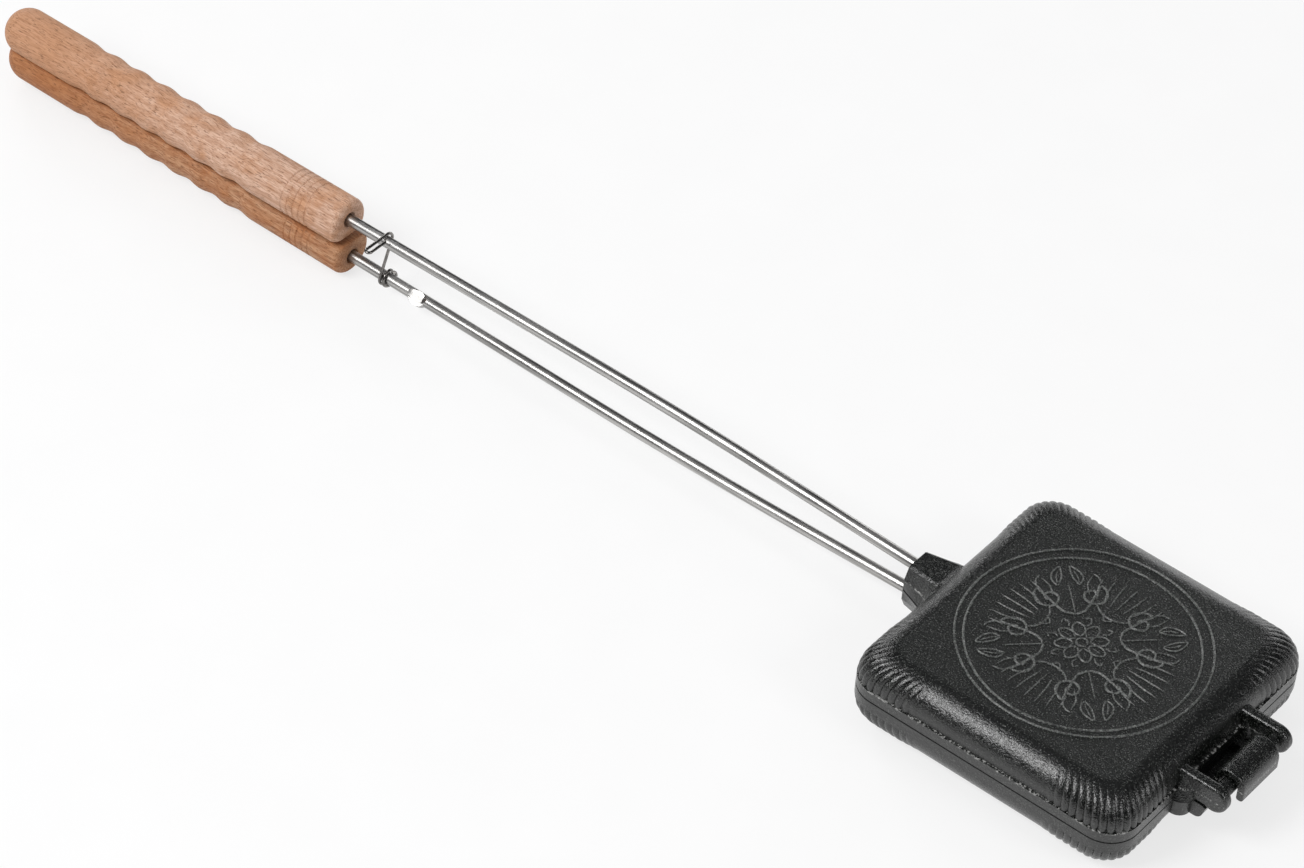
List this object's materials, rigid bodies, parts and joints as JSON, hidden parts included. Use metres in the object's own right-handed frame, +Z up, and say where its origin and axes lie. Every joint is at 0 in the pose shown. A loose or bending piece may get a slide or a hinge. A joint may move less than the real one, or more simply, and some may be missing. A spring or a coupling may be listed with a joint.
{
  "type": "jaffle iron",
  "caption": "Square cast-iron toasting iron: hinged halves with ribbed corners, long bent steel rods, turned wooden grips and a swinging wire latch.",
  "frame": {"origin": "centre of the flat face that the lower half stands on, under the middle of the head", "axes": "+X from the grips towards the hinge, +Y across the head towards the side that the latch swings to, +Z up; the halves meet at Z = 18 mm"},
  "size_m": [0.6497, 0.13, 0.0365],
  "materials": {
    "iron": "satin black, as cast",
    "rod_steel": "bright plated",
    "wire_steel": "bright drawn wire",
    "beech_pale": "bare turned beech",
    "beech_warm": "bare turned beech"
  },
  "bodies": {
    "lower_half": {"lower_shell": "iron", "lower_rod": "rod_steel", "lower_grip": "beech_warm"},
    "upper_half": {"upper_shell": "iron", "upper_rod": "rod_steel", "upper_grip": "beech_pale"},
    "latch": {"latch": "wire_steel"}
  },
  "joints": [
    {"name": "shell_hinge", "type": "hinge", "parent": "lower_half", "child": "upper_half", "pos_m": [0.0774, 0, 0.0234], "axis": [0, 1, 0], "range_deg": [0, 180]},
    {"name": "latch_swing", "type": "hinge", "parent": "lower_half", "child": "latch", "pos_m": [-0.3515, 0, 0.00842], "axis": [-1, 0, 0], "range_deg": [0, 98]}
  ]
}
